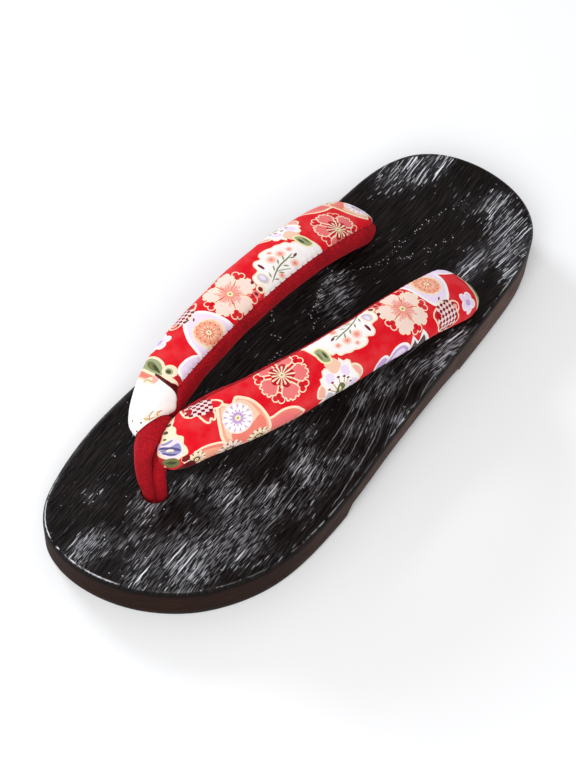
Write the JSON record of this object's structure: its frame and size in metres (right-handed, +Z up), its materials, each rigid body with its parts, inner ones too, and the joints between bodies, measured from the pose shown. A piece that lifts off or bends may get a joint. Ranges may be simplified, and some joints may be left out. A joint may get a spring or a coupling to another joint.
{
  "type": "geta",
  "caption": "Low wooden thong sandal: foot-shaped plank on a toe and a heel block, padded V strap in flowered cotton lined with velvet, velvet toe thong.",
  "frame": {"origin": "under the centre of the sandal's box in plan, on the floor plane that both treads rest on", "axes": "+Z up, +Y from the toe to the heel, +X to the outer side of the left foot"},
  "size_m": [0.0916, 0.24, 0.0577],
  "materials": {
    "charred_wood": "charred, wire-brushed along the grain, thin black lacquer; browner side walls",
    "tread_rubber": "matt black",
    "printed_cotton": "plain-weave cotton, red with white, pink and lavender flowers outlined in cream",
    "red_velvet": "dark red velvet with a short pile"
  },
  "bodies": {
    "root": {"dai": "charred_wood", "toe_tread": "tread_rubber", "heel_tread": "tread_rubber", "hanao": "printed_cotton", "maetsubo": "red_velvet"}
  },
  "joints": []
}
